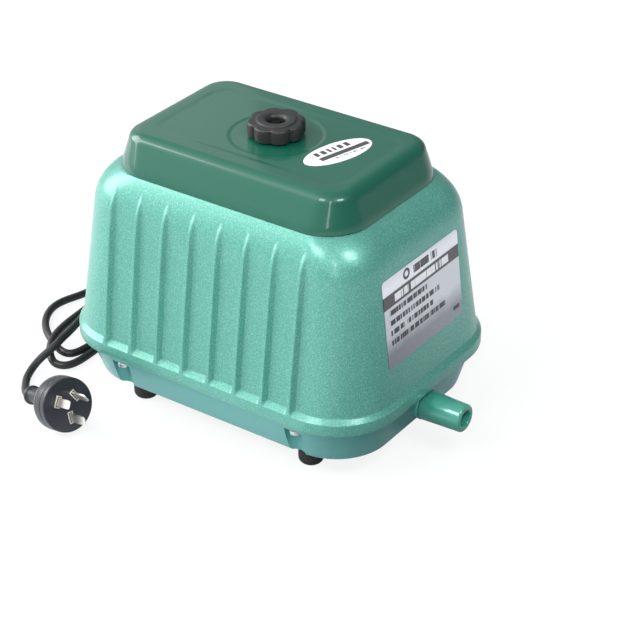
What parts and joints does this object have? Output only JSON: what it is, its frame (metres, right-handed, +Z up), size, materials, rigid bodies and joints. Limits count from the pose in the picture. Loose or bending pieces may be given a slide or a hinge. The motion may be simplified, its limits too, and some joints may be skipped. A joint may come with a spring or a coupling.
{
  "type": "diaphragm air pump",
  "caption": "Electromagnetic diaphragm air pump with cast ribbed casing, lift-off filter cover and knob, rubber feet, hose outlet tube and mains cord with plug.",
  "frame": {"origin": "centre of the flat underside of the cast base, above the floor by the height of the rubber feet", "axes": "+Z up, +X out of the air outlet tube, -Y towards the long ribbed side shown in front"},
  "size_m": [0.378, 0.2553, 0.2211],
  "materials": {
    "hammer_green": "hammertone metallic green enamel on cast alloy",
    "cover_green": "glossy dark green moulding",
    "nozzle_green": "glossy green",
    "black_plastic": "satin black moulding",
    "black_rubber": "matt black rubber",
    "cord_pvc": "satin dark grey PVC",
    "zinc_steel": "zinc plated",
    "nickel_brass": "nickel plated",
    "lamination_steel": "varnished laminations",
    "copper_winding": "enamelled copper wire",
    "ferrite_magnet": "dark ferrite",
    "cast_alloy": "as cast",
    "grey_nylon": "satin",
    "filter_foam": "open foam",
    "silver_foil": "satin silver foil",
    "white_vinyl": "glossy white vinyl"
  },
  "bodies": {
    "pump": {"air_hose_left": "black_rubber", "air_hose_right": "black_rubber", "base_gasket": "black_rubber", "base_tub": "hammer_green", "coil_front": "copper_winding", "coil_rear": "copper_winding", "cord_grommet": "black_rubber", "core_front": "lamination_steel", "core_rear": "lamination_steel", "cover_stud": "zinc_steel", "diaphragm_left": "black_rubber", "diaphragm_right": "black_rubber", "foot_front_left": "black_rubber", "foot_front_right": "black_rubber", "foot_rear_left": "black_rubber", "foot_rear_right": "black_rubber", "head_cover_left": "grey_nylon", "head_cover_right": "grey_nylon", "motor_frame": "cast_alloy", "mount_front_left": "black_rubber", "mount_front_right": "black_rubber", "mount_rear_left": "black_rubber", "mount_rear_right": "black_rubber", "outlet_nozzle": "nozzle_green", "pin_active": "nickel_brass", "pin_earth": "nickel_brass", "pin_neutral": "nickel_brass", "plug_body": "black_plastic", "power_cord": "cord_pvc", "rating_label": "silver_foil", "screw_front_left": "zinc_steel", "screw_front_right": "zinc_steel", "screw_rear_left": "zinc_steel", "screw_rear_right": "zinc_steel", "tank_lid": "cast_alloy", "terminal_block": "black_plastic", "upper_casing": "hammer_green", "valve_body_left": "grey_nylon", "valve_body_right": "grey_nylon"},
    "cover": {"top_cover": "cover_green", "oval_sticker": "white_vinyl"},
    "washer": {"knob_washer": "zinc_steel"},
    "knob": {"knob": "black_plastic"},
    "filter": {"filter_pad": "filter_foam"},
    "armature": {"armature_bar": "grey_nylon", "magnet_left": "ferrite_magnet", "magnet_right": "ferrite_magnet", "shaft_left": "zinc_steel", "shaft_right": "zinc_steel", "inner_plate_left": "cast_alloy", "inner_plate_right": "cast_alloy", "outer_plate_left": "cast_alloy", "outer_plate_right": "cast_alloy", "nut_left": "zinc_steel", "nut_right": "zinc_steel"},
    "intake_flap_left": {"intake_flap_left": "black_rubber"},
    "intake_flap_right": {"intake_flap_right": "black_rubber"},
    "exhaust_flap_left": {"exhaust_flap_left": "black_rubber"},
    "exhaust_flap_right": {"exhaust_flap_right": "black_rubber"}
  },
  "joints": [
    {"name": "cover_lift", "type": "slide", "parent": "pump", "child": "cover", "axis": [0, 0, 1], "range_m": [0, 0.09]},
    {"name": "filter_lift", "type": "slide", "parent": "pump", "child": "filter", "axis": [0, 0, 1], "range_m": [0, 0.0451]},
    {"name": "knob_rise", "type": "slide", "parent": "cover", "child": "washer", "axis": [0, 0, 1], "range_m": [0, 0.0101]},
    {"name": "knob_turn", "type": "hinge", "parent": "washer", "child": "knob", "pos_m": [0, 0, 0.197], "axis": [0, 0, 1], "range_deg": [0, 2880]},
    {"name": "armature_stroke", "type": "slide", "parent": "pump", "child": "armature", "axis": [1, 0, 0], "range_m": [-0.002, 0.002], "deforming": ["diaphragm_left", "diaphragm_right"]},
    {"name": "intake_flap_right_swing", "type": "hinge", "parent": "pump", "child": "intake_flap_right", "pos_m": [0.06985, -0.016, 0.101], "axis": [0, 1, 0], "range_deg": [0, 10]},
    {"name": "exhaust_flap_right_swing", "type": "hinge", "parent": "pump", "child": "exhaust_flap_right", "pos_m": [0.07695, 0.016, 0.101], "axis": [0, -1, 0], "range_deg": [0, 10]},
    {"name": "intake_flap_left_swing", "type": "hinge", "parent": "pump", "child": "intake_flap_left", "pos_m": [-0.06985, -0.016, 0.101], "axis": [0, -1, 0], "range_deg": [0, 10]},
    {"name": "exhaust_flap_left_swing", "type": "hinge", "parent": "pump", "child": "exhaust_flap_left", "pos_m": [-0.07695, 0.016, 0.101], "axis": [0, 1, 0], "range_deg": [0, 10]}
  ],
  "couplings": [
    {"joint": "filter_lift", "follows": "cover_lift", "ratio": 0.5},
    {"joint": "knob_rise", "follows": "knob_turn", "m_per_rad": 0.00019894}
  ]
}
